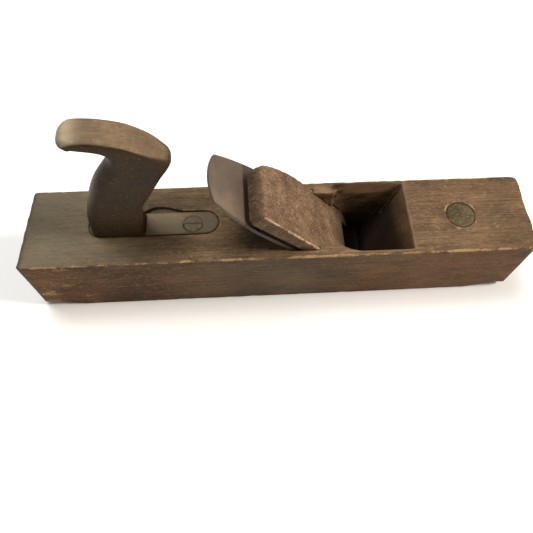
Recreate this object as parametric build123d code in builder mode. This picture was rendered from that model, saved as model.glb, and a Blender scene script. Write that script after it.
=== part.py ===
from build123d import *
import os
from math import acos, atan, cos, degrees, radians, sin, tan

os.makedirs("parts", exist_ok=True)

# Wooden bench plane. X runs from heel (-) to toe (+), Z up from the sole, Y across.
# The origin is the middle of the sole. Millimetres and degrees. Places "up the bed"
# are measured along it from where it meets the sole.

# Cutting iron
iron_width = 57.0
iron_thickness = 3.8
iron_length = 187.6
iron_end_inset = 7.7           # from each long edge to the corners of the top's shallow arc
iron_end_drop = 5.2            # how far those corners lie below the apex
iron_shoulder_drop = 46.0      # where the shoulders reach full width
iron_shoulder_inset = 2.9      # midway down the shoulders
edge_height = 0.6              # the cutting edge stands this far above the sole
edge_angle = 28.0
slot_width = 11.0
slot_low = 55.0                # up the bed: middle of the keyhole
slot_high = 128.0              # up the bed: end of the slot
keyhole_diameter = 20.0

# Stock
stock_length = 414.0
stock_height = 70.0
cheek = 6.5                    # wall beside the iron
iron_side_gap = 0.5            # beside the iron and the wedge, which are equally wide
stock_width = iron_width + 2 * (iron_side_gap + cheek)
corner_radius = 6.0
top_round = 1.5
sole_round = 1.0

# Bed, mouth and throat
bed_angle = 45.0
mouth_x = 75.0                 # where the bed meets the sole
mouth_gap = 1.5                # in front of the iron, along the sole
wear_height = 12.0             # steep part of the throat's front, above the mouth
wear_run = 2.0
throat_front_x = 106.3         # throat's front edge on the deck
throat_wall = 4.2              # cheek left beside the open throat
abutment = 4.3                 # how far each abutment overlaps the wedge
abutment_x = 29.75             # abutment's back edge on the deck
abutment_end_z = 20.0          # below this the full slot width runs to the throat's front
wedge_angle = 5.0
eye_radius = 30.0              # curve from the abutment to the throat wall
eye_x = 66.0
scoop_start_x = 44.0           # long scooped chamfer inside the far cheek
scoop_drop = 12.0
scoop_width = 2.2
scoop_lead = 3.0               # its curve's first and last stretch at the back
scoop_tail = 17.0              # the same at the front, where it is scoop_tail_share wide
scoop_tail_share = 0.6

# Cap iron, its nut and screw
cap_thickness = 2.8
cap_length = 140.0
cap_setback = 1.2              # from the cutting edge
hump_length = 22.0
hump_height = 2.9
hump_crest = 0.48              # share of the hump's length
hump_steep = (0.2, 0.6)        # where its front leaves the edge: shares of length and height
hump_inside = 0.9              # height of the hollow under it, as a share
cap_lip = 1.4                  # thickness of the cap iron's edge, along the bed
cap_lip_slope = 1.6
screw_place = 95.0             # up the bed
screw_diameter = 8.0
screw_head_diameter = 17.0
screw_head_height = 3.4
screwdriver_slot = 1.6         # width and depth of both screws' slots
nut_collar_diameter = 12.0
nut_boss_diameter = 16.0
nut_boss_height = 3.6

# Wedge
wedge_top = 150.0              # up the bed
wedge_top_angle = 3.0          # taper of the part above the deck
wedge_shoulder_start = 100.0   # up the bed, where the far edge begins to curve in
wedge_shoulder_inset = 11.5    # how far it has curved in at the top
wedge_far_corner = 5.0
wedge_near_corner = 6.0
prong_tip = 22.0               # up the bed
prong_length = 15.0
prong_width = 9.3
prong_tip_thickness = 1.6
crotch_radius = 5.0

# Tote: an open handle cut from one board
tote_thickness = 21.6
tote_y = 0.4
tote_round = 4.5
tote_height = 111.4            # above the deck
foot_width = 20.8
foot_depth = 12.0
foot_front_x = -49.2
stem_back_x = -152.0
stem_front_x = -109.5
nose_x = -77.5                 # end of the nose's curve
nose_depth = 33.0              # and how far that is below the top
horn_x = -144.5
horn_depth = 10.8              # thickness of the horn's tip
horn_round = 4.0               # how far its end is rounded under
# Outline: forward of the horn's tip and below the top
crown_points = ((3.5, 0), (20, 0.9), (39, 5.2), (56, 17.2), (64, 24.5))
# Outline: forward of the stem, and above the deck
front_points = ((20, 59), (6.5, 35), (0.5, 8), (3, 0))
grip_points = ((0, 0), (2.5, 22), (9.7, 43), (22, 67.5), (35.5, 87), (34, 95), (24, 98.5))
chip_width = 5.6               # widest part of the broken edge beside the foot
chip_depth = 3.5
# Its outline: back from the foot's front, and share of the width
chip_points = ((61, 0), (44, 1), (27, 0.25), (11, 0.15), (1, -1.04))

# Tote screw
tote_screw_x = -69.8
tote_screw_y = -0.8
tote_screw_head = 14.4
tote_screw_shank = 5.4
tote_screw_rim = 0.6
tote_screw_point = 8.0
tote_screw_length = 34.0
tote_screw_sink = 0.3          # head below the foot's top

# Strike button
button_x = 149.5
button_y = -1.6
button_diameter = 23.0
button_depth = 22.0
button_crown = 0.9

# Clearances
slide_gap = 0.15               # between bed, iron and cap iron
wedge_gap = 0.2                # under the wedge
abutment_gap = 0.35            # in front of the wedge
glue_gap = 0.1                 # round the foot and the button
thread_gap = 0.05
boss_gap = 1.3                 # beside the nut in the wedge's channel
boss_roof_gap = 0.5
head_gap = 1.5                 # round the screw head in the bed's groove
over = 2.0                     # cutting tools run this far past a face

# Heights of the layers above the bed
bed = radians(bed_angle)
iron_back = slide_gap
iron_front = iron_back + iron_thickness
cap_back = iron_front + slide_gap
cap_front = cap_back + cap_thickness
wedge_back = cap_front + wedge_gap

slot_half = iron_width / 2 + iron_side_gap
throat_half = stock_width / 2 - throat_wall
abutment_half = slot_half - abutment
wedge_half = iron_width / 2
iron_tip = edge_height / cos(bed) - iron_front    # up the bed
iron_apex = iron_tip + iron_length
cap_tip = iron_tip + cap_setback

# The bed, seen square on (local X up the bed) and from the side (local Y away from it)
bed_plane = Plane((mouth_x, 0, 0), x_dir=(-cos(bed), 0, sin(bed)), z_dir=(sin(bed), 0, cos(bed)))
bed_side = Plane((mouth_x, 0, 0), x_dir=(-cos(bed), 0, sin(bed)), z_dir=(0, 1, 0))


def bed_at(z):
    return mouth_x - z / tan(bed)


def abutment_at(z):
    return abutment_x + (stock_height - z) / tan(radians(bed_angle + wedge_angle))


mouth_front = mouth_x + iron_front / sin(bed) + mouth_gap
wear_x = mouth_front + wear_run
throat_slope = (throat_front_x - wear_x) / (stock_height - wear_height)


def throat_at(z):
    return wear_x + (z - wear_height) * throat_slope


# Everything in front of the bed between the cheeks, narrower between the abutments and
# drawn in from the deck to the mouth
with BuildPart() as throat_tool:
    top = stock_height + over
    eye_step = throat_half - abutment_half
    eye_turn = degrees(acos(1 - eye_step / eye_radius))
    for height, wall_half in ((top, throat_half), (-over, slot_half)):
        with BuildSketch(Plane.XY.offset(height)):
            with BuildLine():
                front_x, back_x = throat_at(top) + over, bed_at(top) - over
                wall = Line((front_x, wall_half), (eye_x, wall_half))
                eye = JernArc(start=wall @ 1, tangent=(-1, 0), radius=eye_radius, arc_size=eye_turn)
                Polyline(eye @ 1, (back_x, wall_half - eye_step), (back_x, 0))
                mirror(about=Plane.XZ)
                Line((front_x, wall_half), (front_x, -wall_half))
            make_face()
    loft(ruled=True)
    with BuildSketch(Plane.XZ):
        with BuildLine():
            Polyline(
                (bed_at(-over), -over),
                (mouth_front, -over),
                (mouth_front, 0),
                (wear_x, wear_height),
                (throat_at(top), top),
                (bed_at(top), top),
                close=True,
            )
        make_face()
    extrude(amount=stock_width, both=True, mode=Mode.INTERSECT)

with BuildPart() as stock:
    with BuildSketch():
        RectangleRounded(stock_length, stock_width, corner_radius)
    extrude(amount=stock_height)
    fillet(stock.faces().sort_by(Axis.Z)[-1].edges(), top_round)
    fillet(stock.faces().sort_by(Axis.Z)[0].edges(), sole_round)
    # Bed, abutments and mouth, as wide as the iron's slot
    with BuildSketch(Plane.XZ):
        with BuildLine():
            Polyline(
                (bed_at(-over), -over),
                (mouth_front, -over),
                (mouth_front, 0),
                (wear_x, wear_height),
                (throat_at(abutment_end_z), abutment_end_z),
                (abutment_at(abutment_end_z), abutment_end_z),
                (abutment_at(top), top),
                (bed_at(top), top),
                close=True,
            )
        make_face()
    extrude(amount=slot_half, both=True, mode=Mode.SUBTRACT)
    add(throat_tool.part, mode=Mode.SUBTRACT)
    # Groove in the bed for the cap iron screw's head
    groove_depth = screw_head_height + head_gap
    groove_half = screw_head_diameter / 2 + head_gap
    groove_top = top / sin(bed) + groove_depth
    with BuildSketch(bed_plane.offset(-groove_depth)):
        with BuildLine():
            lower = ThreePointArc(
                (screw_place, groove_half), (screw_place - groove_half, 0), (screw_place, -groove_half)
            )
            Polyline(lower @ 1, (groove_top, -groove_half), (groove_top, groove_half), lower @ 0)
        make_face()
    extrude(amount=groove_depth + over, mode=Mode.SUBTRACT)
    # Long scooped chamfer inside the far cheek, cut along its own slope
    scoop_cut = scoop_width * cos(atan(scoop_width / scoop_drop))
    scoop_plane = Plane(
        (0, throat_half, stock_height), x_dir=(1, 0, 0), z_dir=(0, -scoop_width, -scoop_drop)
    )
    with BuildSketch(scoop_plane):
        with BuildLine():
            curve = Spline(
                (scoop_start_x, over),
                (scoop_start_x + scoop_lead, 0),
                (eye_x - scoop_lead, -scoop_cut),
                (throat_front_x - scoop_tail, -scoop_cut * scoop_tail_share),
                (throat_front_x, 0),
            )
            Polyline(curve @ 1, (throat_front_x, over), curve @ 0)
        make_face()
    extrude(amount=stock_height / 2, both=True, mode=Mode.SUBTRACT)
    # Housing for the tote's foot, with the broken edge on its far side
    with BuildSketch(Plane.XY.offset(stock_height - foot_depth)):
        with Locations(((foot_front_x + stem_back_x) / 2, tote_y)):
            SlotOverall(foot_front_x - stem_back_x + 2 * glue_gap, foot_width + 2 * glue_gap)
    extrude(amount=foot_depth + over, mode=Mode.SUBTRACT)
    with BuildSketch(Plane.XY.offset(stock_height - chip_depth)):
        with BuildLine():
            foot_far = tote_y + foot_width / 2
            ragged = Spline([(foot_front_x - x, foot_far + share * chip_width) for x, share in chip_points])
            chip_back = foot_front_x - chip_points[0][0]
            Polyline(ragged @ 1, (foot_front_x - foot_width / 2, tote_y), (chip_back, tote_y), ragged @ 0)
        make_face()
    extrude(amount=chip_depth + over, mode=Mode.SUBTRACT)
    with Locations((tote_screw_x, tote_screw_y, stock_height)):
        Hole(tote_screw_shank / 2 + thread_gap, depth=tote_screw_length + over)
    with Locations((button_x, button_y, stock_height)):
        Hole(button_diameter / 2 + glue_gap, depth=button_depth)
stock.part.label = "stock"
export_step(stock.part, "parts/stock.step")

with BuildPart() as tote:
    deck = stock_height
    tote_top = deck + tote_height
    with BuildSketch(Plane.XZ.offset(-tote_y)):
        with BuildLine():
            crown = Spline([(horn_x + x, tote_top - drop) for x, drop in crown_points])
            nose = TangentArc(crown @ 1, (nose_x, tote_top - nose_depth), tangent=crown % 1)
            front = Spline([nose @ 1] + [(stem_front_x + x, deck + z) for x, z in front_points])
            Line(front @ 1, (stem_back_x, deck))
            horn_under = (horn_x + horn_round, tote_top - horn_depth)
            grip = Spline([(stem_back_x + x, deck + z) for x, z in grip_points] + [horn_under])
            end = ThreePointArc(horn_under, (horn_x, tote_top - horn_depth / 2), crown @ 0)
        make_face()
    extrude(amount=tote_thickness / 2, both=True)
    above_deck = tote.edges().filter_by_position(Axis.Z, deck + over, tote_top + over)
    fillet(above_deck.filter_by(Axis.Y, reverse=True), tote_round)
    # Foot, let into the deck, with the screw's countersunk hole
    with BuildSketch(Plane.XY.offset(deck - foot_depth)):
        with Locations(((foot_front_x + stem_back_x) / 2, tote_y)):
            SlotOverall(foot_front_x - stem_back_x, foot_width)
    extrude(amount=foot_depth)
    with Locations((tote_screw_x, tote_screw_y, deck)):
        CounterSinkHole(
            tote_screw_shank / 2 + thread_gap,
            tote_screw_head / 2 + thread_gap + tote_screw_sink + tote_screw_rim,
            depth=foot_depth,
            counter_sink_angle=90,
        )
tote.part.label = "tote"
export_step(tote.part, "parts/tote.step")

with BuildPart() as tote_screw:
    screw_top = stock_height - tote_screw_sink
    countersink = (tote_screw_head - tote_screw_shank) / 2
    with BuildSketch(Plane((tote_screw_x, tote_screw_y, screw_top), x_dir=(1, 0, 0), z_dir=(0, -1, 0))):
        with BuildLine():
            Polyline(
                (0, 0),
                (tote_screw_head / 2, 0),
                (tote_screw_head / 2, -tote_screw_rim),
                (tote_screw_shank / 2, -tote_screw_rim - countersink),
                (tote_screw_shank / 2, tote_screw_point - tote_screw_length),
                (0, -tote_screw_length),
                close=True,
            )
        make_face()
    revolve(axis=Axis((tote_screw_x, tote_screw_y, 0), (0, 0, 1)))
    with BuildSketch(Plane((tote_screw_x, tote_screw_y, screw_top))):
        Rectangle(tote_screw_head + over, screwdriver_slot)
    extrude(amount=-screwdriver_slot, mode=Mode.SUBTRACT)
tote_screw.part.label = "tote_screw"
export_step(tote_screw.part, "parts/tote_screw.step")

with BuildPart() as strike_button:
    button_side = Plane((button_x, button_y, stock_height), x_dir=(1, 0, 0), z_dir=(0, -1, 0))
    with BuildSketch(button_side):
        with BuildLine():
            rim = button_diameter / 2
            crown_arc = TangentArc((0, button_crown), (rim, 0), tangent=(1, 0))
            Polyline(crown_arc @ 1, (rim, -button_depth), (0, -button_depth), crown_arc @ 0)
        make_face()
    revolve(axis=Axis((button_x, button_y, 0), (0, 0, 1)))
strike_button.part.label = "strike_button"
export_step(strike_button.part, "parts/strike_button.step")

with BuildPart() as cutting_iron:
    with BuildSketch(bed_plane.offset(iron_back)):
        with BuildLine():
            half = iron_width / 2
            shoulder = iron_apex - iron_shoulder_drop
            corner = iron_apex - iron_end_drop
            middle = ((shoulder + corner) / 2, half - iron_shoulder_inset)
            left = ThreePointArc((shoulder, half), middle, (corner, half - iron_end_inset))
            arch = ThreePointArc(left @ 1, (iron_apex, 0), (corner, iron_end_inset - half))
            right = ThreePointArc(arch @ 1, (middle[0], -middle[1]), (shoulder, -half))
            Polyline(right @ 1, (iron_tip, -half), (iron_tip, half), left @ 0)
        make_face()
        # Keyhole slot
        with Locations((slot_low, 0)):
            Circle(keyhole_diameter / 2, mode=Mode.SUBTRACT)
        with Locations(((slot_low + slot_high) / 2, 0)):
            SlotOverall(slot_high - slot_low + slot_width, slot_width, mode=Mode.SUBTRACT)
    extrude(amount=iron_thickness)
    # Bevel, ground on the side that lies on the bed
    with BuildSketch(bed_side):
        with BuildLine():
            bevel_run = iron_thickness / tan(radians(edge_angle))
            Polyline(
                (iron_tip - over, -over),
                (iron_tip - over * 2 / tan(radians(edge_angle)), iron_front),
                (iron_tip, iron_front),
                (iron_tip + bevel_run, iron_back),
                (iron_tip + bevel_run, -over),
                close=True,
            )
        make_face()
    extrude(amount=iron_width, both=True, mode=Mode.SUBTRACT)
cutting_iron.part.label = "cutting_iron"
export_step(cutting_iron.part, "parts/cutting_iron.step")

with BuildPart() as cap_iron:
    with BuildSketch(bed_side):
        with BuildLine():
            hump_end = cap_tip + hump_length
            cap_top = cap_tip + cap_length
            outside = Spline(
                (cap_tip, cap_back),
                (cap_tip + hump_length * hump_steep[0], cap_front + hump_height * hump_steep[1]),
                (cap_tip + hump_length * hump_crest, cap_front + hump_height),
                (hump_end, cap_front),
                tangents=[(1, cap_lip_slope), (1, 0)],
            )
            Polyline(outside @ 1, (cap_top, cap_front), (cap_top, cap_back), (hump_end, cap_back))
            inside = Spline(
                (hump_end, cap_back),
                (cap_tip + hump_length * hump_crest, cap_back + hump_height * hump_inside),
                (cap_tip + cap_lip, cap_back),
                tangents=[(-1, 0), (-1, -cap_lip_slope)],
            )
            Line(inside @ 1, outside @ 0)
        make_face()
    extrude(amount=iron_width / 2, both=True)
    with BuildSketch(bed_plane.offset(cap_back)):
        with Locations((screw_place, 0)):
            Circle(nut_collar_diameter / 2 + thread_gap)
    extrude(amount=cap_thickness, mode=Mode.SUBTRACT)
cap_iron.part.label = "cap_iron"
export_step(cap_iron.part, "parts/cap_iron.step")

with BuildPart() as cap_iron_nut:
    with BuildSketch(bed_plane.offset(cap_back)):
        with Locations((screw_place, 0)):
            Circle(nut_collar_diameter / 2)
    extrude(amount=cap_thickness)
    with BuildSketch(bed_plane.offset(cap_front)):
        with Locations((screw_place, 0)):
            Circle(nut_boss_diameter / 2)
    extrude(amount=nut_boss_height)
    with BuildSketch(bed_plane.offset(cap_back)):
        with Locations((screw_place, 0)):
            Circle(screw_diameter / 2 + thread_gap)
    extrude(amount=cap_thickness + nut_boss_height, mode=Mode.SUBTRACT)
cap_iron_nut.part.label = "cap_iron_nut"
export_step(cap_iron_nut.part, "parts/cap_iron_nut.step")

with BuildPart() as cap_iron_screw:
    head_top = iron_back - slide_gap / 2
    with BuildSketch(bed_plane.offset(head_top - screw_head_height)):
        with Locations((screw_place, 0)):
            Circle(screw_head_diameter / 2)
    extrude(amount=screw_head_height)
    with BuildSketch(bed_plane.offset(head_top)):
        with Locations((screw_place, 0)):
            Circle(screw_diameter / 2)
    extrude(amount=cap_front + nut_boss_height - head_top)
    with BuildSketch(bed_plane.offset(head_top - screw_head_height)):
        with Locations((screw_place, 0)):
            Rectangle(screw_head_diameter + over, screwdriver_slot)
    extrude(amount=screwdriver_slot, mode=Mode.SUBTRACT)
cap_iron_screw.part.label = "cap_iron_screw"
export_step(cap_iron_screw.part, "parts/cap_iron_screw.step")

with BuildPart() as wedge:
    # Side profile: underside, top end, the part above the deck, the taper below, the tip
    break_s = (mouth_x - abutment_x) * cos(bed) + stock_height * sin(bed)
    break_n = (abutment_x - mouth_x) * sin(bed) + stock_height * cos(bed) - abutment_gap
    crotch = prong_tip + prong_length
    crotch_n = break_n - (break_s - crotch) * tan(radians(wedge_angle))
    with BuildSketch(bed_side):
        with BuildLine():
            Polyline(
                (prong_tip, wedge_back),
                (wedge_top, wedge_back),
                (wedge_top, break_n + (wedge_top - break_s) * tan(radians(wedge_top_angle))),
                (break_s, break_n),
                (crotch, crotch_n),
                (prong_tip, wedge_back + prong_tip_thickness),
                close=True,
            )
        make_face()
    extrude(amount=wedge_half, both=True)
    # Far shoulder, one long curve (the bed plane's Y runs towards the near side)
    with BuildSketch(bed_plane.offset(wedge_back - over)):
        with BuildLine():
            shoulder_end = (wedge_top, wedge_shoulder_inset - wedge_half)
            curve = TangentArc((wedge_shoulder_start, -wedge_half), shoulder_end, tangent=(1, 0))
            Polyline(
                shoulder_end,
                (wedge_top + over, wedge_shoulder_inset - wedge_half),
                (wedge_top + over, -wedge_half - over),
                (wedge_shoulder_start, -wedge_half - over),
                (wedge_shoulder_start, -wedge_half),
            )
        make_face()
    extrude(amount=2 * stock_height, mode=Mode.SUBTRACT)
    end_corners = wedge.faces().sort_by(Axis((0, 0, 0), bed_plane.x_dir))[-1].edges().sort_by(Axis.Y)
    fillet(end_corners[-1], wedge_far_corner)
    end_corners = wedge.faces().sort_by(Axis((0, 0, 0), bed_plane.x_dir))[-1].edges().sort_by(Axis.Y)
    fillet(end_corners[0], wedge_near_corner)
    # Fork between the prongs
    with BuildSketch(bed_plane.offset(wedge_back - over)):
        with Locations((crotch - prong_length, 0)):
            RectangleRounded(2 * prong_length, 2 * (wedge_half - prong_width), crotch_radius)
    extrude(amount=crotch_n + over, mode=Mode.SUBTRACT)
    # Channel that lets the wedge pass the nut
    with BuildSketch(bed_plane.offset(wedge_back)):
        channel_half = nut_boss_diameter / 2 + boss_gap
        with Locations(((crotch - over + screw_place + channel_half) / 2, 0)):
            SlotOverall(screw_place + channel_half - crotch + over, 2 * channel_half)
        with Locations((crotch, 0)):
            Rectangle(4 * crotch_radius, 2 * channel_half)
    extrude(amount=nut_boss_height - wedge_gap + boss_roof_gap, mode=Mode.SUBTRACT)
wedge.part.label = "wedge"
export_step(wedge.part, "parts/wedge.step")
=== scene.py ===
import math
import bmesh
import bpy
import numpy as np
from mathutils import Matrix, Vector, noise


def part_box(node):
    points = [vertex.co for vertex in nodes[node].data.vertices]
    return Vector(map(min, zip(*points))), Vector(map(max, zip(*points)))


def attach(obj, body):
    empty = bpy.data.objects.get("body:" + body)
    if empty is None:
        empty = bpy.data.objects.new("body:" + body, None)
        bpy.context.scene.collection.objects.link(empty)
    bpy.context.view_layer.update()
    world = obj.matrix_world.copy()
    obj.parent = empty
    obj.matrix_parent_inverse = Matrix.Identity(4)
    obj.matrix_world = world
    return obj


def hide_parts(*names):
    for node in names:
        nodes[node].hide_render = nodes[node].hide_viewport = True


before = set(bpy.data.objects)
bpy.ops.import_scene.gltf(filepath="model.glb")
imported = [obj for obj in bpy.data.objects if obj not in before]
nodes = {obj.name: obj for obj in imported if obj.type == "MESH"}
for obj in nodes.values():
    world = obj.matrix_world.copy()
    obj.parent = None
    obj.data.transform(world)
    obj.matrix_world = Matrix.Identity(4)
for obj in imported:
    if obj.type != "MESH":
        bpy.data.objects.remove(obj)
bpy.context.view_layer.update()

mm = 0.001


def linear(hexColour):
    parts = [int(hexColour[i:i + 2], 16) / 255 for i in (1, 3, 5)]
    return [c / 12.92 if c <= 0.04045 else ((c + 0.055) / 1.055) ** 2.4 for c in parts] + [1.0]


def addNode(tree, kind, settings=None, links=None):
    node = tree.nodes.new(kind)
    for key, value in (settings or {}).items():
        if key == "stops":
            ramp = node.color_ramp
            while len(ramp.elements) < len(value):
                ramp.elements.new(0.5)
            for element, (place, colour) in zip(ramp.elements, value):
                element.position = place
                element.color = colour
        elif isinstance(key, int) or key in node.inputs:
            node.inputs[key].default_value = value
        else:
            setattr(node, key, value)
    for key, source in (links or {}).items():
        tree.links.new(source, node.inputs[key])
    return node


def newPiece(name, bm):
    mesh = bpy.data.meshes.new(name)
    bm.to_mesh(mesh)
    bm.free()
    piece = bpy.data.objects.new(name, mesh)
    bpy.context.scene.collection.objects.link(piece)
    return piece


def copyNode(name, source):
    bm = bmesh.new()
    bm.from_mesh(nodes[source].data)
    bmesh.ops.remove_doubles(bm, verts=bm.verts, dist=0.002 * mm)
    return newPiece(name, bm)


def applyModifiers(piece):
    graph = bpy.context.evaluated_depsgraph_get()
    mesh = bpy.data.meshes.new_from_object(piece.evaluated_get(graph))
    piece.modifiers.clear()
    piece.data = mesh


def voxelise(piece, size, smoothing=2, adapt=0.0):
    remesh = piece.modifiers.new("voxels", "REMESH")
    remesh.mode = "VOXEL"
    remesh.voxel_size = size * mm
    remesh.adaptivity = adapt * mm
    applyModifiers(piece)
    bm = bmesh.new()
    bm.from_mesh(piece.data)
    for turn in range(smoothing):
        bmesh.ops.smooth_vert(bm, verts=bm.verts, factor=0.5,
                              use_axis_x=True, use_axis_y=True, use_axis_z=True)
    bm.to_mesh(piece.data)
    bm.free()


def getPoints(piece):
    flat = np.empty(len(piece.data.vertices) * 3)
    piece.data.vertices.foreach_get("co", flat)
    return flat.reshape(-1, 3) / mm


def setPoints(piece, points):
    piece.data.vertices.foreach_set("co", (points * mm).ravel())
    piece.data.update()


def getNormals(piece):
    flat = np.empty(len(piece.data.vertices) * 3)
    piece.data.vertices.foreach_get("normal", flat)
    return flat.reshape(-1, 3)


def setAttribute(piece, name, values):
    layer = piece.data.attributes.new(name, "FLOAT", "POINT")
    layer.data.foreach_set("value", np.clip(values, 0, 1).astype(np.float32))


def noiseAt(points, size, shift=0.0, octaves=1):
    total = np.zeros(len(points))
    scaled = points / np.array(size, float)
    for octave in range(octaves):
        step = 2.0 ** octave
        offset = Vector((shift + 7.3 * octave, shift * 1.7, -shift))
        total += np.array([noise.noise(Vector(p) * step + offset) for p in scaled]) / step
    return total


def smoothStep(values, low, high):
    t = np.clip((values - low) / (high - low), 0, 1)
    return t * t * (3 - 2 * t)


def within(values, low, lowFull, highFull, high):
    return smoothStep(values, low, lowFull) * (1 - smoothStep(values, highFull, high))


def hump(values, middle, width):
    return np.exp(-((values - middle) / width) ** 2)


def roundEdge(points, faceA, faceB, radius):
    # rounds the edge between two flat faces to a radius that may change from point to point;
    # gives each point's distance to the old sharp edge
    (placeA, outA), (placeB, outB) = faceA, faceB
    outA, outB = np.array(outA, float), np.array(outB, float)
    depthA = (np.array(placeA) - points) @ outA
    depthB = (np.array(placeB) - points) @ outB
    shortA, shortB = np.clip(radius - depthA, 0, None), np.clip(radius - depthB, 0, None)
    reach = np.hypot(shortA, shortB)
    pull = np.where(reach > radius, 1 - radius / np.maximum(reach, 1e-9), 0)
    points -= (pull * shortA)[:, None] * outA + (pull * shortB)[:, None] * outB
    return np.hypot(np.clip(depthA, 0, None), np.clip(depthB, 0, None))


def smoothShade(piece, angle=None):
    piece.data.polygons.foreach_set("use_smooth", [True] * len(piece.data.polygons))
    if angle is not None:
        piece.data.set_sharp_from_angle(angle=math.radians(angle))


def dress(piece, material, body, slot, *replaced):
    piece.data.materials.clear()
    piece.data.materials.append(material)
    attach(piece, body)
    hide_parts(*replaced)


camera = {"place": (-34.97, -228.74, 437.12), "turn": (27.080, -1.611, -3.506), "angle": 53.03}
lens = bpy.data.cameras.new("camera")
lens.sensor_fit = "HORIZONTAL"
lens.angle = math.radians(camera["angle"])
lens.clip_start = 0.01
eye = bpy.data.objects.new("camera", lens)
eye.location = Vector(camera["place"]) * mm
eye.rotation_euler = [math.radians(a) for a in camera["turn"]]
bpy.context.scene.collection.objects.link(eye)
bpy.context.scene.camera = eye
bpy.context.scene.view_settings.view_transform = "Standard"

studio = {
    "key": {"place": (2500, -250, 2150), "size": 700, "power": 101.0, "colour": "#fff8ee"},
    "top": {"place": (-450, 520, 1900), "size": 900, "power": 33.0, "colour": "#fffefc"},
}
for name, look in studio.items():
    lamp = bpy.data.lights.new(name, "AREA")
    lamp.energy = look["power"]
    lamp.size = look["size"] * mm
    lamp.color = linear(look["colour"])[:3]
    holder = bpy.data.objects.new(name, lamp)
    holder.location = Vector(look["place"]) * mm
    holder.rotation_euler = (Vector((0, 0, 40)) - Vector(look["place"])).to_track_quat("-Z", "Y").to_euler()
    bpy.context.scene.collection.objects.link(holder)
world = bpy.data.worlds.new("studio")
world.use_nodes = True
world.node_tree.nodes["Background"].inputs["Color"].default_value = linear("#f4f4f2")
world.node_tree.nodes["Background"].inputs["Strength"].default_value = 0.28
bpy.context.scene.world = world

floorLook = {"reach": 20000, "colour": "#f3f2f0"}
bm = bmesh.new()
bmesh.ops.create_grid(bm, x_segments=1, y_segments=1, size=floorLook["reach"] * mm)
floor = newPiece("floor", bm)
paper = bpy.data.materials.new("matt paper backdrop")  # pale, no gloss
paper.use_nodes = True
shader = paper.node_tree.nodes["Principled BSDF"]
shader.inputs["Base Color"].default_value = linear(floorLook["colour"])
shader.inputs["Roughness"].default_value = 0.9
floor.data.materials.append(paper)
print("camera and light done")


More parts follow.
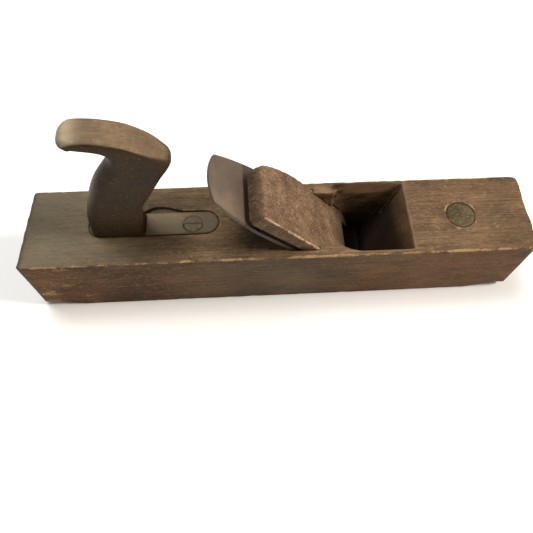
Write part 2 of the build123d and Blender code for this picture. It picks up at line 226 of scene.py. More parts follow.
def woodMaterial(name, look):
    material = bpy.data.materials.new(name)
    material.use_nodes = True
    tree = material.node_tree
    shader = tree.nodes["Principled BSDF"]
    place = addNode(tree, "ShaderNodeTexCoord")
    grain = addNode(tree, "ShaderNodeMapping", {"Rotation": look["grainTurn"]},
                    {"Vector": place.outputs["Object"]})
    along, across = look["grain"]  # millimetres
    size = {}
    for key, (longWay, crossWay) in {
        "blotch": (look["blotch"] * 2.0, look["blotch"]),
        "streak": (along, across),
        "fleck": look["fleck"],
        "speck": look["speck"],
    }.items():
        size[key] = addNode(
            tree, "ShaderNodeMapping",
            {"Scale": (1 / (longWay * mm), 1 / (crossWay * mm), 1 / (crossWay * mm))},
            {"Vector": grain.outputs["Vector"]},
        )
    blotch = addNode(tree, "ShaderNodeTexNoise", {"Scale": 1.0, "Detail": 4.0, "Roughness": 0.6},
                     {"Vector": size["blotch"].outputs["Vector"]})
    streak = addNode(tree, "ShaderNodeTexNoise",
                     {"Scale": 1.0, "Detail": 5.0, "Roughness": 0.65, "Distortion": 0.3},
                     {"Vector": size["streak"].outputs["Vector"]})
    fleck = addNode(tree, "ShaderNodeTexNoise", {"Scale": 1.0, "Detail": 2.0, "Roughness": 0.5},
                    {"Vector": size["fleck"].outputs["Vector"]})
    dark, middle, light = (linear(c) for c in look["colours"])
    body = addNode(tree, "ShaderNodeValToRGB", {"stops": [(0.3, dark), (0.5, middle), (0.7, light)]},
                   {"Fac": blotch.outputs["Fac"]})
    # warmer and darker where hands and oil have been; on the stock's sides partly painted shade
    tone = addNode(tree, "ShaderNodeAttribute", {"attribute_name": "tone"})
    warm = addNode(tree, "ShaderNodeMix",
                   {"data_type": "RGBA", "blend_type": "MULTIPLY", 7: linear(look["warm"])},
                   {0: tone.outputs["Fac"], 6: body.outputs["Color"]})
    streakTone = addNode(tree, "ShaderNodeValToRGB",
                         {"stops": [(0.35, linear(look["streakDark"])), (0.65, linear(look["streakLight"]))]},
                         {"Fac": streak.outputs["Fac"]})
    streaked = addNode(tree, "ShaderNodeMix",
                       {"data_type": "RGBA", "blend_type": "OVERLAY", 0: look["streakAmount"]},
                       {6: warm.outputs[2], 7: streakTone.outputs["Color"]})
    fleckMask = addNode(tree, "ShaderNodeMapRange",
                        {"From Min": 0.60, "From Max": 0.68, "To Max": look["fleckAmount"]},
                        {"Value": fleck.outputs["Fac"]})
    flecked = addNode(tree, "ShaderNodeMix", {"data_type": "RGBA", 7: linear(look["fleckColour"])},
                      {0: fleckMask.outputs["Result"], 6: streaked.outputs[2]})
    speck = addNode(tree, "ShaderNodeTexNoise", {"Scale": 1.0, "Detail": 3.0, "Roughness": 0.75},
                    {"Vector": size["speck"].outputs["Vector"]})
    speckMask = addNode(tree, "ShaderNodeMapRange",
                        {"From Min": 0.56, "From Max": 0.70, "To Max": look["speckAmount"]},
                        {"Value": speck.outputs["Fac"]})
    specked = addNode(tree, "ShaderNodeMix", {"data_type": "RGBA", 7: linear(look["speckColour"])},
                      {0: speckMask.outputs["Result"], 6: flecked.outputs[2]})
    turned = addNode(tree, "ShaderNodeMapping", {"Rotation": (0, 0, math.radians(look["scratchTurn"]))},
                     {"Vector": grain.outputs["Vector"]})
    longWay, crossWay = look["scratch"]
    drawn = addNode(tree, "ShaderNodeMapping",
                    {"Scale": (1 / (longWay * mm), 1 / (crossWay * mm), 1 / (crossWay * mm))},
                    {"Vector": turned.outputs["Vector"]})
    scratch = addNode(tree, "ShaderNodeTexNoise", {"Scale": 1.0, "Detail": 2.0, "Distortion": 0.6},
                      {"Vector": drawn.outputs["Vector"]})
    scratchMask = addNode(tree, "ShaderNodeMapRange",
                          {"From Min": 0.67, "From Max": 0.73, "To Max": look["scratchAmount"]},
                          {"Value": scratch.outputs["Fac"]})
    scratched = addNode(tree, "ShaderNodeMix", {"data_type": "RGBA", 7: linear(look["speckColour"])},
                        {0: scratchMask.outputs["Result"], 6: specked.outputs[2]})
    # bare wood where edges are rubbed or chipped; on the stock this also carries a painted highlight rim at the
    # foot's front and round the button
    wear = addNode(tree, "ShaderNodeAttribute", {"attribute_name": "wear"})
    chip = addNode(tree, "ShaderNodeTexNoise",
                   {"Scale": 1 / (look["chip"] * mm), "Detail": 4.0, "Roughness": 0.7},
                   {"Vector": grain.outputs["Vector"]})
    wearSum = addNode(tree, "ShaderNodeMath", {"operation": "ADD"},
                      {0: wear.outputs["Fac"], 1: chip.outputs["Fac"]})
    wearMask = addNode(tree, "ShaderNodeMapRange",
                       {"From Min": 1.0, "From Max": 1.18, "To Max": look["wearAmount"]},
                       {"Value": wearSum.outputs["Value"]})
    worn = addNode(tree, "ShaderNodeMix", {"data_type": "RGBA", 7: linear(look["wearColour"])},
                   {0: wearMask.outputs["Result"], 6: scratched.outputs[2]})
    # larger rubbed patches and painted light, then dust with a painted sheen, then dirt with painted shade over
    # everything
    bare = addNode(tree, "ShaderNodeAttribute", {"attribute_name": "bare"})
    strippedAndLit = addNode(tree, "ShaderNodeMix", {"data_type": "RGBA", 7: linear(look["bareAndLitColour"])},
                       {0: bare.outputs["Fac"], 6: worn.outputs[2]})
    dust = addNode(tree, "ShaderNodeAttribute", {"attribute_name": "dust"})
    dustAndSheen = addNode(tree, "ShaderNodeMix", {"data_type": "RGBA", 7: linear(look["dustAndSheenColour"])},
                    {0: dust.outputs["Fac"], 6: strippedAndLit.outputs[2]})
    grime = addNode(tree, "ShaderNodeAttribute", {"attribute_name": "grime"})
    dirtiedAndShaded = addNode(tree, "ShaderNodeMix", {"data_type": "RGBA", 7: linear(look["dirtAndShadeColour"])},
                    {0: grime.outputs["Fac"], 6: dustAndSheen.outputs[2]})
    tree.links.new(dirtiedAndShaded.outputs[2], shader.inputs["Base Color"])
    rough = addNode(tree, "ShaderNodeMapRange",
                    {"To Min": look["roughness"][0], "To Max": look["roughness"][1]},
                    {"Value": blotch.outputs["Fac"]})
    tree.links.new(rough.outputs["Result"], shader.inputs["Roughness"])
    shader.inputs["Specular IOR Level"].default_value = look["gloss"]
    heights = addNode(tree, "ShaderNodeMath", {"operation": "SUBTRACT"},
                      {0: streak.outputs["Fac"], 1: fleckMask.outputs["Result"]})
    heightSum = addNode(tree, "ShaderNodeMath", {"operation": "MULTIPLY_ADD", 1: 0.8},
                        {0: chip.outputs["Fac"], 2: heights.outputs["Value"]})
    bump = addNode(tree, "ShaderNodeBump", {"Strength": look["bump"], "Distance": look["relief"] * mm},
                   {"Height": heightSum.outputs["Value"]})
    tree.links.new(bump.outputs["Normal"], shader.inputs["Normal"])
    return material


bedFoot = np.array((75.0, 0, 0))  # where the bed meets the sole
upBed = np.array((-1, 0, 1)) / math.sqrt(2)
offBed = np.array((1, 0, 1)) / math.sqrt(2)


def bedSpot(s, n, y=0.0):
    return bedFoot + s * upBed + n * offBed + np.array((0, y, 0))


def onBed(points):
    # each point's distance up the bed and off it
    return (points - bedFoot) @ upBed, (points - bedFoot) @ offBed


# millimetres; two places in a pair are where a mark starts and where it is full, four also fade it out
stockLook = {
    "voxel": 0.62, "adapt": 0.3, "sway": 0.25, "deck": 68.6,
    "topEdge": 1.7, "topChips": 2.6, "soleEdge": 1.2, "heelEdge": 6.5, "toeEdge": 2.5,
    "toeCorner": {"radius": 9.0, "from": 45, "to": 8}, "heelCorner": {"radius": 9.0, "from": 40, "to": 8},
    # the heel's end, sawn a little out of square
    "heel": {"reach": 40, "inset": 0.8, "skew": 5.0, "undercut": 1.5},
    # the throat: its ends, half width and far wall, its rubbed edges on the deck, the hollow in its far cheek
    "throat": (0, 107), "throatHalf": 34.4, "farWallFrom": 22, "swayFree": (2, 107, 32),
    "rim": {"frontEdge": 106.3, "halfWidth": 31, "nearEdge": -31.3, "middle": 78, "halfLength": 29},
    "scoopAlong": (50, 64), "scoopDown": (0.3, 1.2, 10.5, 12.5),
    # the far abutment, rough where wedges were driven
    "abutment": {"x": (28, 36, 52, 60), "y": (20, 25, 30, 34), "z": (50, 58), "rough": 1.6},
    # dirt packed on the front of the mouth, and room for the blade at the mouth's ends
    "mouthDust": {"x": (78, 92), "half": (27, 29), "z": (7, 13), "thick": 1.05},
    "mouthEnds": {"x": (73, 84), "half": (27.5, 30.5), "z": 5, "room": 0.6},
    # the low end of the groove for the screw's head
    "groove": {"s": 95.0, "reach": 11.0, "n": (-5.2, -0.1), "room": 0.6},
    # round-ended pieces let into the deck: x, straight run, y, radius, and where the pale rim, rubbed and
    # painted as a highlight, starts
    "letIn": ((-141.6, 82.0, 0.4, 10.4, -78), (149.5, 0.0, -1.6, 11.5, 0)),
}


def roundStock(points, look, low, high, chips, slow):
    # rounds all the edges, and gives how worn each point is
    x, y, z = points.T
    top = ((0, 0, high.z), (0, 0, 1))
    sole = ((0, 0, low.z), (0, 0, -1))
    near, far = ((0, low.y, 0), (0, -1, 0)), ((0, high.y, 0), (0, 1, 0))
    heel, toe = ((low.x, 0, 0), (-1, 0, 0)), ((high.x, 0, 0), (1, 0, 0))
    wear = np.zeros(len(points))
    nearSide = 1 - 0.75 * smoothStep(y, 0, 20)
    chipped = look["topChips"] * np.clip(chips - 0.05, 0, None) * 2
    topRadius = look["topEdge"] + (chipped + 0.6 * slow) * nearSide
    soleRadius = look["soleEdge"] + 1.5 * np.clip(chips, 0, None)
    corner = look["toeCorner"]
    lowCorner = smoothStep(x, high.x - corner["from"], high.x - corner["to"]) * corner["radius"]
    corner = look["heelCorner"]
    lowCorner += (1 - smoothStep(x, low.x + corner["to"], low.x + corner["from"])) * corner["radius"]
    for side in (near, far):
        distance = roundEdge(points, top, side, topRadius)
        wear = np.maximum(wear, (1 - smoothStep(distance, 0.3, 4.2)) * (0.64 + 0.35 * chips + 0.25 * slow))
        distance = roundEdge(points, sole, side, soleRadius + lowCorner)
        wear = np.maximum(wear, (1 - smoothStep(distance, 0.3, 2.5)) * (0.5 + 0.5 * chips))
    for end, radius in ((heel, look["heelEdge"]), (toe, look["toeEdge"])):
        distance = roundEdge(points, top, end, radius + 1.5 * chips)
        wear = np.maximum(wear, (1 - smoothStep(distance, 0.5, 4)) * (0.4 + 0.5 * chips))
        roundEdge(points, sole, end, soleRadius + lowCorner)
    return wear


def trimStock(points, look, low, high):
    x, y, z = points.T
    heel = look["heel"]
    atHeel = 1 - smoothStep(x, low.x, low.x + heel["reach"])
    x += atHeel * (heel["skew"] * (y - low.y) / (high.y - low.y) + heel["inset"])
    x += atHeel * heel["undercut"] * (1 - z / high.z)
    dust = look["mouthDust"]
    packed = (x > dust["x"][0]) & (x < dust["x"][1])
    x -= dust["thick"] * packed * (1 - smoothStep(z, *dust["z"])) * (1 - smoothStep(np.abs(y), *dust["half"]))
    ends = look["mouthEnds"]
    atEnds = (x > ends["x"][0]) & (x < ends["x"][1]) & (z < ends["z"])
    atEnds &= (np.abs(y) > ends["half"][0]) & (np.abs(y) < ends["half"][1])
    y += np.sign(y) * atEnds * ends["room"]
    groove = look["groove"]
    s, n = onBed(points)
    lowEnd = (n > groove["n"][0]) & (n < groove["n"][1]) & (s < groove["s"])
    lowEnd &= np.hypot(s - groove["s"], y) < groove["reach"]
    points -= upBed * (lowEnd * groove["room"])[:, None]


def paintStock(piece, points, look, low, high, chips, slow, wear, chewed):
    x, y, z = points.T
    normals = getNormals(piece)
    depth = high.z - z
    upward = smoothStep(normals[:, 2], 0.5, 0.9)
    onSide = smoothStep(np.abs(normals[:, 1]), 0.5, 0.9) * smoothStep(np.abs(y), 33, 35)
    onDeck = z > look["deck"]
    # painted shade with dirt deep in the throat, darker with depth and on the far wall below its lit top; the
    # heel's end darkened
    inside = (np.abs(y) < look["throatHalf"]) & (x > look["throat"][0]) & (x < look["throat"][1])
    farWall = inside & (y > look["farWallFrom"]) & (normals[:, 1] < -0.4)
    grime = np.where(inside, smoothStep(depth, -6, 26) * 0.92, 0)
    grime = np.where(farWall, smoothStep(depth, 26, 60) * 0.8, grime)
    heelEnd = 1 - smoothStep(x - 2 * y / high.y, low.x + 6, low.x + 10)
    grime = np.maximum(grime, heelEnd * (0.3 + 0.15 * chips))
    # painted light on the hollow of the far cheek, lit like the deck over bare wood; bare wood round the
    # throat's edges and on the abutment
    scooped = farWall * smoothStep(x, *look["scoopAlong"]) * within(depth, *look["scoopDown"])
    bare = scooped * np.clip(0.85 + 0.3 * chips, 0, 1)
    rim = look["rim"]
    frontEdge = np.abs(x - rim["frontEdge"]) + 2 * np.clip(np.abs(y) - rim["halfWidth"], 0, None)
    nearEdge = np.abs(y - rim["nearEdge"]) + 2 * np.clip(np.abs(x - rim["middle"]) - rim["halfLength"], 0, None)
    onRim = onDeck * (1 - smoothStep(np.minimum(frontEdge, nearEdge), 0.4, 1.6))
    bare = np.maximum(bare, onRim * np.clip(0.65 + 0.5 * chips, 0, 1))
    bare = np.maximum(bare, chewed * np.clip(0.35 + 0.5 * chips, 0, 1))
    # dirt and painted shade in the gaps round the foot and the button, the shade on their far halves; a pale
    # rim just outside them, partly rubbed wood and partly a painted highlight
    for startX, run, middleY, radius, paleRimFrom in look["letIn"]:
        gap = np.hypot(x - np.clip(x, startX, startX + run), y - middleY) - radius
        farHalf = 0.25 + 0.75 * smoothStep(y - middleY, -2, 3)
        grime = np.maximum(grime, onDeck * (1 - smoothStep(np.abs(gap), 0.4, 1.1)) * 0.7 * farHalf)
        # painted highlight: the pale rim where the deck's edge meets the gap catches the light
        rubbed = onDeck * (1 - smoothStep(np.abs(gap - 1.7), 0.3, 1.0)) * (x > paleRimFrom)
        wear = np.maximum(wear, rubbed * (0.55 + 0.5 * chips))
    # the sides: darker and warmer, partly painted shade and partly warmer wood; warmer at their ends, knocked
    # at the heel, rubbed at the toe
    toToe = smoothStep(x, -160, 160)
    midSide = onSide * hump(x, -10, 80)
    sideShadeAndWarmth = 0.7 - 0.2 * hump(x, -10, 80) - 0.15 * toToe + 0.45 * slow
    setAttribute(piece, "tone", np.maximum(onSide * sideShadeAndWarmth, toToe * 0.35))
    knocks = 1 - smoothStep(x, -170, -90) + 0.75 * smoothStep(x, 60, 120)
    knocked = noiseAt(points, (18, 9, 6), 12.2, 2)
    setAttribute(piece, "wear", np.maximum(wear, onSide * knocks * (0.41 + 0.3 * knocked)))
    ends = 0.6 * smoothStep(x, 40, 130) + 0.25 * (1 - smoothStep(x, -190, -120))
    setAttribute(piece, "bare", np.maximum(bare, onSide * ends * (0.3 + 0.2 * chips)))
    # painted shadow of the handle on the deck on its near side, oil from the hand on its far side, dirt along
    # the middle of the sides
    toteShadow = hump(x, -108, 34) * hump(y, -23, 9)
    behind = hump(x, -70, 50) * smoothStep(y, 10, 16)
    oiledAndShadowed = upward * (0.3 * toteShadow + 0.22 * behind) + midSide * 0.14
    setAttribute(piece, "grime", np.maximum(grime, oiledAndShadowed))
    # dust on the deck where the hand rests, there partly a painted sheen, and on the heel and along the sides
    palms = 1 - smoothStep(x, -190, -60)
    dustAndSheen = upward * (z > 66) * (0.6 * palms + 0.15)
    setAttribute(piece, "dust", np.maximum.reduce([dustAndSheen, heelEnd * 0.75, midSide * 0.35]))


def makeStock(look):
    piece = copyNode("stock_block", "stock")
    voxelise(piece, look["voxel"], 1, look["adapt"])
    low, high = [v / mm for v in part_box("stock")]
    points = getPoints(piece)
    chips = noiseAt(points, (9, 9, 9), 3.1, 2)
    slow = noiseAt(points, (60, 60, 60), 8.4)
    wear = roundStock(points, look, low, high, chips, slow)
    setPoints(piece, points)
    # slightly wavy faces outside the throat, and a chewed abutment
    normals = getNormals(piece)
    x, y, z = points.T
    start, end, half = look["swayFree"]
    throat = (np.abs(y) < half) & (x > start) & (x < end)
    points += normals * (look["sway"] * slow * ~throat)[:, None]
    rough = look["abutment"]
    chewed = within(x, *rough["x"]) * within(y, *rough["y"]) * smoothStep(z, *rough["z"])
    points += normals * (rough["rough"] * chewed * (chips - 0.3))[:, None]
    trimStock(points, look, low, high)
    points = np.clip(points, np.array(low), np.array(high))
    setPoints(piece, points)
    paintStock(piece, points, look, low, high, chips, slow, wear, chewed)
    smoothShade(piece)
    print("stock:", len(piece.data.polygons), "faces")
    return piece


# old beech, oiled and handled for decades: dull brown, short dark ray flecks, rubbed tan edges
oldBeech = {
    # millimetres: length and width of each mark, drawn coarse enough to show
    "grainTurn": (0, 0, 0), "grain": (45, 1.3), "blotch": 22, "fleck": (4.6, 0.9), "chip": 1.3,
    "speck": (4.0, 1.5), "scratch": (14.0, 0.9), "scratchTurn": 35, "relief": 0.5,
    "colours": ("#594633", "#7a6247", "#947657"), "warm": "#c08c58",
    "streakDark": "#404040", "streakLight": "#bcbcbc", "streakAmount": 0.6,
    "fleckColour": "#33261b", "fleckAmount": 0.6, "speckColour": "#b3946c", "speckAmount": 0.35,
    "scratchAmount": 0.45, "wearColour": "#c09a6c", "wearAmount": 0.75,
    "dirtAndShadeColour": "#1a110c", "dustAndSheenColour": "#5f594a", "bareAndLitColour": "#8f6f52",
    "roughness": (0.6, 0.8), "gloss": 0.12, "bump": 0.6,
}
stockPiece = makeStock(stockLook)
dress(stockPiece, woodMaterial("oiled old beech", oldBeech), "body", "stock_wood", "stock")

# outline in millimetres: along the plane, above the sole, rounding of the edge there
toteLook = {
    "outline": (
        (-143.6, 178.2, 9.0), (-139.5, 181.2, 6.0), (-133, 181.2, 2.6), (-120, 180.3, 2.6),
        (-106, 176.6, 2.6), (-97, 171.6, 2.6), (-88, 165.4, 3.5), (-80.5, 158.6, 6.5),
        (-76.6, 153.6, 8.5), (-77.6, 149.2, 8.5), (-84.5, 138.5, 7.5), (-90, 128.9, 7.0),
        (-97, 115.1, 7.0), (-102.8, 104, 7.0), (-106.2, 92, 6.5), (-107.6, 80, 6.0),
        (-107.2, 72, 5.0), (-105.5, 66, 3.0), (-120, 62, 3.0), (-136, 62, 5.0),
        (-147, 63, 8.0), (-149.4, 72, 9.5), (-148.4, 88, 10.0), (-144.6, 103, 10.0),
        (-139.6, 118, 10.0), (-133, 132.5, 10.0), (-124.4, 145.5, 10.0), (-118.2, 154.6, 10.0),
        (-116.6, 161.5, 9.0), (-119.4, 166, 7.5), (-126, 168.4, 7.0), (-134, 170.1, 7.0),
        (-140.5, 171.9, 7.2), (-144.2, 174.9, 8.0),
    ),
    "thickness": 22.4, "middle": 0.4, "rings": 7, "perPoint": 5, "voxel": 0.85,
    "footWidth": 21.2, "footFront": -49.0, "footBack": -152.0, "footDepth": 11.8, "deck": 70.0,
    "screw": (-69.8, -0.8), "screwHole": 7.4, "screwSink": 1.2, "bump": 0.3, "fineBump": 0.06,
    # the stem's back where it meets the deck, the end of the horn with its painted highlight, the bare front of
    # the foot
    "stemBack": (-150, -146), "hornEnd": (-142, -126), "hornTop": (148, 160),
    "footBare": (-118, -108), "footDirt": (-84, -62), "footTop": 66,
}


def smoothOutline(control, steps):
    control = np.array(control, float)
    before, after, later = np.roll(control, 1, 0), np.roll(control, -1, 0), np.roll(control, -2, 0)
    curve = []
    for t in np.arange(steps) / steps:
        curve.append(0.5 * (2 * control + (after - before) * t
                            + (2 * before - 5 * control + 4 * after - later) * t ** 2
                            + (3 * control - before - 3 * after + later) * t ** 3))
    return np.stack(curve, 1).reshape(-1, control.shape[1])


def addLoop(bm, spots):
    verts = [bm.verts.new(Vector(spot) * mm) for spot in spots]
    return [bm.edges.new((a, b)) for a, b in zip(verts, verts[1:] + verts[:1])]


def makeTote(look):
    outline = smoothOutline(look["outline"], look["perPoint"])
    path, rounding = outline[:, :2], outline[:, 2]
    tangent = np.roll(path, -1, 0) - np.roll(path, 1, 0)
    tangent /= np.linalg.norm(tangent, axis=1)[:, None]
    inward = np.stack([tangent[:, 1], -tangent[:, 0]], 1)  # the outline runs clockwise
    half = look["thickness"] / 2
    turns = np.linspace(math.pi / 2, 0, look["rings"])
    layers = [(-1, turn) for turn in turns] + [(1, turn) for turn in turns[::-1]]
    bm = bmesh.new()
    loops = []
    for side, turn in layers:
        flat = path + inward * (rounding * (1 - math.cos(turn)))[:, None]
        y = look["middle"] + side * (half - rounding * (1 - math.sin(turn)))
        loops.append(addLoop(bm, np.stack([flat[:, 0], y, flat[:, 1]], 1)))
    for first, second in zip(loops, loops[1:]):
        bmesh.ops.bridge_loops(bm, edges=first + second)
    for rim in (loops[0], loops[-1]):
        bmesh.ops.triangle_fill(bm, edges=rim, use_beauty=True)
    # foot: a long round-ended tongue let into the deck
    radius = look["footWidth"] / 2
    arc = [math.radians(a) for a in range(-90, 91, 10)]
    ends = []
    for middleX, turn in ((look["footFront"] - radius, 1), (look["footBack"] + radius, -1)):
        reach = turn * radius
        ends += [(middleX + reach * math.cos(a), look["middle"] + reach * math.sin(a)) for a in arc]
    low, high = look["deck"] - look["footDepth"], look["deck"] + 0.35
    foot = [addLoop(bm, [(x, y, z) for x, y in ends]) for z in (low, high)]
    bmesh.ops.bridge_loops(bm, edges=foot[0] + foot[1])
    for rim in foot:
        bmesh.ops.triangle_fill(bm, edges=rim, use_beauty=True)
    bmesh.ops.recalc_face_normals(bm, faces=bm.faces)
    piece = newPiece("open_tote", bm)
    voxelise(piece, look["voxel"], 3)
    points = getPoints(piece)
    x, y, z = points.T
    slow = noiseAt(points, (30, 30, 30), 2.2)
    fine = noiseAt(points, (5, 5, 5), 5.5)
    above = smoothStep(z, look["deck"] + 1, look["deck"] + 10)
    normals = getNormals(piece)
    points += normals * ((look["bump"] * slow + look["fineBump"] * fine) * above)[:, None]
    # countersunk hole for the screw
    onTop = z > look["footTop"]
    screwX, screwY = look["screw"]
    hole = look["screwHole"]
    reach = np.hypot(x - screwX, y - screwY)
    z -= onTop * (1 - smoothStep(reach, hole - 0.5, hole + 0.4)) * look["screwSink"]
    setPoints(piece, points)
    # the top of the horn is rubbed pale, its sides are darker
    patch = noiseAt(points, (16, 10, 10), 4.0, 2)
    up = smoothStep(normals[:, 2], 0.5, 0.75) * smoothStep(z, *look["hornTop"])
    onFoot = smoothStep(normals[:, 2], 0.7, 0.9) * (1 - smoothStep(z, 70.5, 73))
    onFoot *= smoothStep(x, *look["footBare"])
    setAttribute(piece, "tone", 1 - np.maximum(up * (0.92 + 0.25 * patch), onFoot))
    # painted highlight: a pale glossy patch on the end of the horn
    hornEnd = 1 - smoothStep(x, *look["hornEnd"])
    hornEndHighlight = hornEnd * smoothStep(normals[:, 2], 0.1, 0.6) * (0.5 + 0.3 * patch)
    setAttribute(piece, "bare", np.maximum(hornEndHighlight, onFoot * 0.13))
    # dirt behind the stem and at the front of the foot; painted shade in the gap on the near rim of the screw's
    # hole
    gap = (1 - smoothStep(x, *look["stemBack"])) * (1 - smoothStep(z, 71, 74)) * 0.6
    frontFoot = onFoot * smoothStep(x, *look["footDirt"]) * 0.45
    rim = (z > look["footTop"]) * (1 - smoothStep(np.abs(reach - hole), 0.5, 1.1)) * 0.9
    nearRim = rim * smoothStep(screwY - y, -2, 1)
    setAttribute(piece, "grime", np.maximum.reduce([frontFoot, nearRim, gap]))
    smoothShade(piece)
    print("tote:", len(piece.data.polygons), "faces")
    return piece


# beech polished by the palm: smooth, dark and a little glossy
palmBeech = {
    **oldBeech, "colours": ("#655340", "#76614a", "#877054"), "warm": "#857a66", "bareAndLitColour": "#b3a788",
    "blotch": 30, "fleckAmount": 0.3, "speckAmount": 0.06, "streakAmount": 0.35,
    "roughness": (0.4, 0.55), "bump": 0.3,
}
totePiece = makeTote(toteLook)
dress(totePiece, woodMaterial("palm polished beech", palmBeech), "body", "tote_wood", "tote")

# places up the bed and off it; the wedge's front leans back by a few degrees
wedgeLook = {
    "voxel": 0.7, "top": 150.0, "front": 17.15, "frontAt": 81.5, "frontAngle": 3.0, "half": 28.5,
    "shoulderFrom": 100.0, "shoulderInset": 11.5, "exposed": (68, 80), "shadedBelow": (35, 60),
    "struckEdge": 7.0, "struckFar": 3.0, "longEdge": 1.0, "bruise": 2.2, "topSides": 1.5, "fibre": 0.35,
}


def makeWedge(look):
    piece = copyNode("fork_wedge", "wedge")
    voxelise(piece, look["voxel"], 2)
    points = getPoints(piece)
    tilt = math.radians(look["frontAngle"])
    off = offBed * math.cos(tilt) - upBed * math.sin(tilt)
    chips = noiseAt(points, (6, 6, 6), 1.9, 2)
    front = (bedSpot(look["frontAt"], look["front"]), off)
    top = (bedSpot(look["top"], 0), upBed)
    half = look["half"]
    wear = np.zeros(len(points))
    farSide = smoothStep(points[:, 1], -10, 20)
    # spread the far shoulder's curve out flat while its edges are rounded
    rise = np.clip(onBed(points)[0] - look["shoulderFrom"], 0, None)
    run = look["top"] - look["shoulderFrom"]
    radius = (run ** 2 + look["shoulderInset"] ** 2) / (2 * look["shoulderInset"])
    narrowed = (half - radius + np.sqrt(radius ** 2 - np.clip(rise, 0, run + 2) ** 2)) / half
    narrowed = np.where(points[:, 1] > 0, narrowed, 1)
    points[:, 1] /= narrowed
    roundEdge(points, front, top, look["struckEdge"] + 2.0 * chips + look["struckFar"] * farSide)
    bruised = look["bruise"] * np.clip(chips + 0.2, 0, None)
    for side in (-1, 1):
        edge = (bedSpot(0, 0, side * half), (0, side, 0))
        distance = roundEdge(points, front, edge, look["longEdge"] + (side < 0) * bruised)
        rubbed = (1 - smoothStep(distance, 0.6, 2.4)) * (0.72 + 0.35 * chips)
        wear = np.maximum(wear, rubbed * (side < 0))
        roundEdge(points, top, edge, look["topSides"] + chips)
    sideFace = 1 - smoothStep(np.abs(np.abs(points[:, 1]) - half), 0.3, 1.5)
    points[:, 1] *= narrowed
    # standing grain on the front
    s, n = onBed(points)
    fibre = noiseAt(np.stack([s, points[:, 1], n], 1), (6, 1.6, 2.5), 4.4, 2)
    frontFace = look["front"] + (s - look["frontAt"]) * math.tan(tilt)
    exposed = smoothStep(s, *look["exposed"])
    raised = look["fibre"] * fibre * smoothStep(n - frontFace, -1.5, -0.2) * exposed
    points += offBed * raised[:, None]
    setPoints(piece, points)
    setAttribute(piece, "wear", wear * exposed)
    # painted shade with some dirt: darker deep in the throat below, on the struck end face turned from the
    # light and a little on the sides
    endFace = smoothStep(s, look["top"] - 5, look["top"] - 1.5)
    below = 1 - smoothStep(s, *look["shadedBelow"])
    grime = np.maximum.reduce([below * 0.8, endFace * 0.58, sideFace * 0.2])
    setAttribute(piece, "grime", grime * (1 - np.clip(wear, 0, 1)))
    smoothShade(piece)
    print("wedge:", len(piece.data.polygons), "faces")
    return piece


# dry beech, its front rough from the mallet and from standing grain: matt, mottled pale brown
dryBeech = {
    **oldBeech, "grainTurn": (0, math.radians(45), 0), "grain": (28, 1.4), "blotch": 14, "fleck": (2.6, 0.7),
    "chip": 1.8, "colours": ("#634c37", "#83654b", "#9a7b5d"), "roughness": (0.8, 0.95),
    "bump": 0.9, "relief": 0.8, "speckColour": "#c6aa8a", "speckAmount": 0.55, "speck": (2.6, 1.8),
    "gloss": 0.2, "scratchAmount": 0.2, "wearColour": "#ccb08e", "dirtAndShadeColour": "#262115",
}
wedgePiece = makeWedge(wedgeLook)
dress(wedgePiece, woodMaterial("dry rough beech", dryBeech), "wedge", "wedge_wood", "wedge")


def metalMaterial(name, look):
    material = bpy.data.materials.new(name)
    material.use_nodes = True
    tree = material.node_tree
    shader = tree.nodes["Principled BSDF"]
    place = addNode(tree, "ShaderNodeTexCoord")
    patches = addNode(tree, "ShaderNodeTexNoise",
                      {"Scale": 1 / (look["patch"] * mm), "Detail": 6.0, "Roughness": 0.65},
                      {"Vector": place.outputs["Object"]})
    pits = addNode(tree, "ShaderNodeTexNoise",
                   {"Scale": 1 / (look["pit"] * mm), "Detail": 3.0, "Roughness": 0.6},
                   {"Vector": place.outputs["Object"]})
    dark, middle, light = (linear(c) for c in look["colours"])
    tone = addNode(tree, "ShaderNodeValToRGB", {"stops": [(0.32, dark), (0.5, middle), (0.68, light)]},
                   {"Fac": patches.outputs["Fac"]})
    pitMask = addNode(tree, "ShaderNodeMapRange",
                      {"From Min": 0.62, "From Max": 0.72, "To Max": look["pitAmount"]},
                      {"Value": pits.outputs["Fac"]})
    spotted = addNode(tree, "ShaderNodeMix", {"data_type": "RGBA", 7: linear(look["pitColour"])},
                      {0: pitMask.outputs["Result"], 6: tone.outputs["Color"]})
    grime = addNode(tree, "ShaderNodeAttribute", {"attribute_name": "grime"})
    dirtiedAndShaded = addNode(tree, "ShaderNodeMix", {"data_type": "RGBA", 7: linear(look["pitColour"])},
                    {0: grime.outputs["Fac"], 6: spotted.outputs[2]})
    tree.links.new(dirtiedAndShaded.outputs[2], shader.inputs["Base Color"])
    shader.inputs["Metallic"].default_value = look["metallic"]
    rough = addNode(tree, "ShaderNodeMapRange",
                    {"To Min": look["roughness"][0], "To Max": look["roughness"][1]},
                    {"Value": patches.outputs["Fac"]})
    tree.links.new(rough.outputs["Result"], shader.inputs["Roughness"])
    height = addNode(tree, "ShaderNodeMath", {"operation": "MULTIPLY_ADD", 1: -1.0},
                     {0: pitMask.outputs["Result"], 2: patches.outputs["Fac"]})
    bump = addNode(tree, "ShaderNodeBump", {"Strength": look["bump"], "Distance": look["relief"] * mm},
                   {"Height": height.outputs["Value"]})
    tree.links.new(bump.outputs["Normal"], shader.inputs["Normal"])
    return material


# forged steel under an even brown rust patina: dull sheen, a few darker pits
brownSteel = {
    "patch": 22, "pit": 1.6, "colours": ("#54463a", "#605040", "#6d5b48"), "pitColour": "#3a2a1d",
    "pitAmount": 0.35, "metallic": 0.3, "roughness": (0.5, 0.65), "bump": 0.2, "relief": 0.2,
}
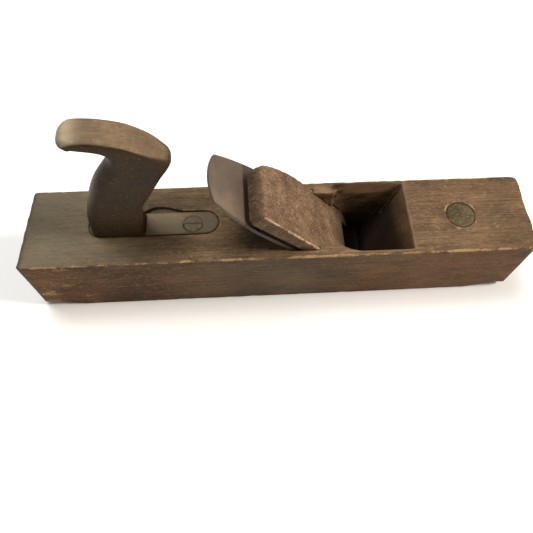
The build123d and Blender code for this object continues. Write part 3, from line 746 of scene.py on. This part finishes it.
# the same steel painted dark as shade under the wedge: a shaded copy of the brown steel
shadedSteel = {
    **brownSteel, "colours": ("#140f0a", "#1b140d", "#251b12"), "metallic": 0.95, "roughness": (0.75, 0.85),
}
# cast yellow brass gone dull: soft golden shine, few pits
dullBrass = {
    **brownSteel, "colours": ("#9d7e3b", "#caa450", "#dfc66e"), "metallic": 0.9, "roughness": (0.35, 0.5),
    "pitAmount": 0.15,
}
# turned steel screws, rusted: rough grey brown with small dark pits
rustySteel = {
    **brownSteel, "patch": 5, "pit": 1.0, "colours": ("#43382a", "#5e4f3a", "#75634a"),
    "metallic": 0.4, "roughness": (0.55, 0.75), "pitColour": "#1f150d",
}


sharpAngle = 35  # degrees between two faces that make an edge


def crispCopy(name, source, bevel):
    piece = copyNode(name, source)
    bm = bmesh.new()
    bm.from_mesh(piece.data)
    bmesh.ops.dissolve_limit(bm, angle_limit=math.radians(1.0), verts=bm.verts, edges=bm.edges)
    least = math.radians(sharpAngle)
    sharp = [e for e in bm.edges if len(e.link_faces) == 2 and e.calc_face_angle(0) > least]
    bmesh.ops.bevel(bm, geom=sharp, offset=bevel * mm, offset_type="OFFSET", affect="EDGES", segments=2,
                    profile=0.5, material=-1, clamp_overlap=True)
    bm.to_mesh(piece.data)
    bm.free()
    smoothShade(piece, sharpAngle)
    return piece


ironLook = {"bevel": 0.5, "taper": 1.1, "taperAlong": (100, 188), "back": 2,
            "rows": (120, 149.8, 151.2, 157, 164, 175), "shadowTo": (149.8, 151.2), "shadowFadeTo": (151, 164)}


def makeIron(look):
    piece = crispCopy("blade", "cutting_iron", look["bevel"])
    bm = bmesh.new()
    bm.from_mesh(piece.data)
    for row in look["rows"]:  # rows of points for the taper and the painted shadow
        bmesh.ops.bisect_plane(bm, geom=bm.verts[:] + bm.edges[:] + bm.faces[:],
                               plane_co=bedSpot(row, 0) * mm, plane_no=upBed)
    bm.to_mesh(piece.data)
    bm.free()
    smoothShade(piece, sharpAngle)
    points = getPoints(piece)
    s, n = onBed(points)
    thinned = smoothStep(s, *look["taperAlong"]) * look["taper"] * (n < look["back"])
    points += offBed * thinned[:, None]
    setPoints(piece, points)
    # painted shadow with dirt: dark under the wedge and in a crisp line along its end, fading above
    lighter = 0.75 * smoothStep(s, *look["shadowTo"]) + 0.25 * smoothStep(s, *look["shadowFadeTo"])
    setAttribute(piece, "grime", 1 - lighter)
    return piece


dress(makeIron(ironLook), metalMaterial("brown patina steel", brownSteel),
      "iron", "iron_steel", "cutting_iron")
dress(crispCopy("chip_breaker", "cap_iron", 0.3), metalMaterial("shaded patina steel", shadedSteel),
      "cap", "cap_steel", "cap_iron")
dress(crispCopy("brass_nut", "cap_iron_nut", 0.35), metalMaterial("dull cast brass", dullBrass),
      "cap", "nut_brass", "cap_iron_nut")
rust = metalMaterial("rusted screw steel", rustySteel)
dress(crispCopy("iron_screw", "cap_iron_screw", 0.35), rust, "cap_screw", "screw_steel", "cap_iron_screw")
toteScrewPiece = crispCopy("foot_screw", "tote_screw", 0.3)
slotFloor, slotLip = 69.0, 69.3  # millimetres above the sole: dirt and painted shade lie in the slot
heights = getPoints(toteScrewPiece)[:, 2]
setAttribute(toteScrewPiece, "grime", 1 - smoothStep(heights, slotFloor, slotLip))
dress(toteScrewPiece, rust, "body", "screw_steel", "tote_screw")
print("metal done")

buttonLook = {"voxel": 0.6, "rough": 0.35, "struckFrom": (69, 70)}


def makeButton(look):
    piece = copyNode("struck_button", "strike_button")
    voxelise(piece, look["voxel"])
    points = getPoints(piece)
    onTop = smoothStep(points[:, 2], *look["struckFrom"])
    dents = look["rough"] * noiseAt(points, (4, 4, 4), 6.0, 2) * onTop
    points += getNormals(piece) * dents[:, None]
    setPoints(piece, points)
    smoothShade(piece)
    return piece


# hard end grain, struck and dirty: greenish dark disc
endGrain = {
    **oldBeech, "grain": (2.0, 2.0), "fleck": (0.9, 0.9), "colours": ("#463b29", "#5f5139", "#776649"),
    "roughness": (0.5, 0.7),
}
dress(makeButton(buttonLook), woodMaterial("struck end grain", endGrain),
      "body", "button_wood", "strike_button")
print("button done")
